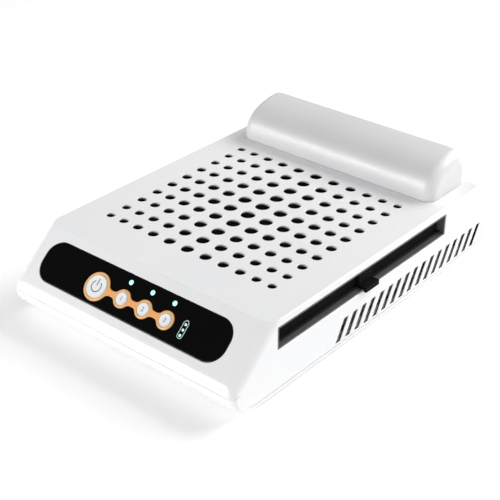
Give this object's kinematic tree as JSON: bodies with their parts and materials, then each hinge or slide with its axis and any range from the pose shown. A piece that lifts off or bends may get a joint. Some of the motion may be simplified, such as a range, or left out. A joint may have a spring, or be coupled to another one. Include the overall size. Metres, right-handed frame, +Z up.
{
  "type": "nail dust collector",
  "caption": "Low white desktop box with a perforated deck, sloping control panel, pull-out filter drawer, side vents and a padded hand rest, holding a fan and battery.",
  "frame": {"origin": "middle of the bounding box at table level, under the middle of the case (the drawer's tab moves the box's middle 1.5 mm to +X)", "axes": "+X towards the side with the filter slot, +Y from the control panel to the hand rest, +Z up"},
  "size_m": [0.203, 0.294, 0.0847],
  "materials": {
    "shell_white": "glossy moulded ABS",
    "window_black": "polished black acrylic",
    "trim_orange": "satin orange with a paler rim",
    "button_white": "satin with printed grey marks",
    "lens_aqua": "lit translucent lens",
    "circuit_board": "solder-masked laminate",
    "plastic_black": "fine-textured ABS",
    "filter_paper": "pleated non-woven filter paper",
    "filter_mesh": "black woven dust mesh",
    "steel": "zinc-plated steel",
    "magnet": "sintered ferrite",
    "copper": "enamelled copper windings on a steel core",
    "cell_wrap": "blue shrink wrap",
    "lead_black": "satin PVC sleeve",
    "pad_grey": "satin silver-grey PU leather",
    "rubber_foot": "matte"
  },
  "bodies": {
    "case": {"top_shell": "shell_white", "bottom_shell": "shell_white", "control_window": "window_black", "button_trim": "trim_orange", "led_lens_1": "lens_aqua", "led_lens_2": "lens_aqua", "led_lens_3": "lens_aqua", "gauge_lens_1": "lens_aqua", "gauge_lens_2": "lens_aqua", "gauge_lens_3": "lens_aqua", "control_board": "circuit_board", "tact_switch_1": "plastic_black", "tact_switch_2": "plastic_black", "tact_switch_3": "plastic_black", "tact_switch_4": "plastic_black", "filter_bay": "plastic_black", "inlet_grille": "plastic_black", "motor_stator": "copper", "bearing_lower": "steel", "bearing_upper": "steel", "motor_base": "steel", "motor_screw_1": "steel", "motor_screw_2": "steel", "motor_screw_3": "steel", "battery_tray": "plastic_black", "battery_cell_1": "cell_wrap", "battery_cell_2": "cell_wrap", "battery_cell_3": "cell_wrap", "charge_socket": "plastic_black", "charge_board": "circuit_board", "motor_lead": "lead_black", "battery_lead": "lead_black", "charge_lead": "lead_black", "hand_rest_pad": "pad_grey", "hand_rest_base": "plastic_black", "rest_screw_1": "steel", "rest_screw_2": "steel", "foot_1": "rubber_foot", "foot_2": "rubber_foot", "foot_3": "rubber_foot", "foot_4": "rubber_foot", "case_screw_1": "steel", "case_screw_2": "steel", "case_screw_3": "steel", "case_screw_4": "steel"},
    "filter_drawer": {"drawer_frame": "plastic_black", "filter_pleats": "filter_paper", "filter_clamp": "plastic_black", "prefilter_mesh": "filter_mesh"},
    "power_key": {"power_button": "button_white"},
    "speed_key_1": {"speed_button_1": "button_white"},
    "speed_key_2": {"speed_button_2": "button_white"},
    "speed_key_3": {"speed_button_3": "button_white"},
    "fan_rotor": {"impeller": "plastic_black", "rotor_cup": "steel", "magnet_ring": "magnet", "motor_shaft": "steel"}
  },
  "joints": [
    {"name": "filter_drawer_slide", "type": "slide", "parent": "case", "child": "filter_drawer", "axis": [1, 0, 0], "range_m": [0, 0.195]},
    {"name": "power_key_press", "type": "slide", "parent": "case", "child": "power_key", "axis": [0, 0.6647, -0.7471], "range_m": [0, 0.0008], "stiffness_N_per_m": 1500},
    {"name": "speed_key_1_press", "type": "slide", "parent": "case", "child": "speed_key_1", "axis": [0, 0.6647, -0.7471], "range_m": [0, 0.0008], "stiffness_N_per_m": 1500},
    {"name": "speed_key_2_press", "type": "slide", "parent": "case", "child": "speed_key_2", "axis": [0, 0.6647, -0.7471], "range_m": [0, 0.0008], "stiffness_N_per_m": 1500},
    {"name": "speed_key_3_press", "type": "slide", "parent": "case", "child": "speed_key_3", "axis": [0, 0.6647, -0.7471], "range_m": [0, 0.0008], "stiffness_N_per_m": 1500},
    {"name": "fan_spin", "type": "hinge", "parent": "case", "child": "fan_rotor", "pos_m": [0, 0.012, 0.02], "axis": [0, 0, 1], "continuous": true}
  ]
}
